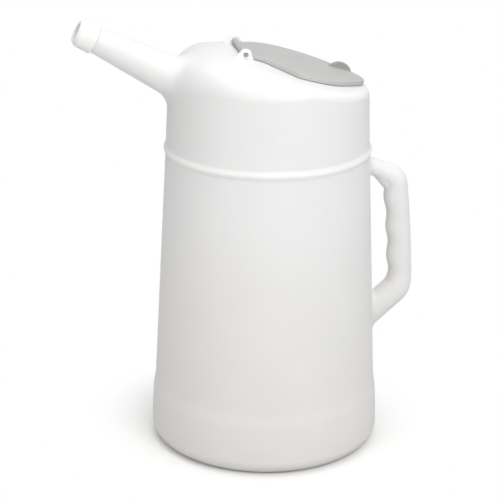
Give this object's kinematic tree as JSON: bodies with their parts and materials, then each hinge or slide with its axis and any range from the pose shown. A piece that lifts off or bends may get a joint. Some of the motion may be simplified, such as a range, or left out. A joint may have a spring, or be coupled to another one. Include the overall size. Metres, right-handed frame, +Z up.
{
  "type": "fuel jug",
  "caption": "Tall round pouring jug with a hollow side handle, a long raised spout and a hinged lid over its filling mouth.",
  "frame": {"origin": "centre of the standing face, on the body's axis", "axes": "+Z up along the body's axis, -X towards the spout, +X towards the handle, +Y to the left of a user who faces the handle side"},
  "size_m": [0.2642, 0.1776, 0.337],
  "materials": {
    "natural_plastic": "milky translucent, soft satin",
    "grey_plastic": "satin",
    "pin_plastic": "satin"
  },
  "bodies": {
    "jug": {"jug_body": "natural_plastic", "hinge_pin": "pin_plastic"},
    "lid": {"lid": "grey_plastic"}
  },
  "joints": [
    {"name": "lid_hinge", "type": "hinge", "parent": "jug", "child": "lid", "pos_m": [-0.02126, 0, 0.3114], "axis": [0, -1, 0], "range_deg": [0, 165]}
  ]
}
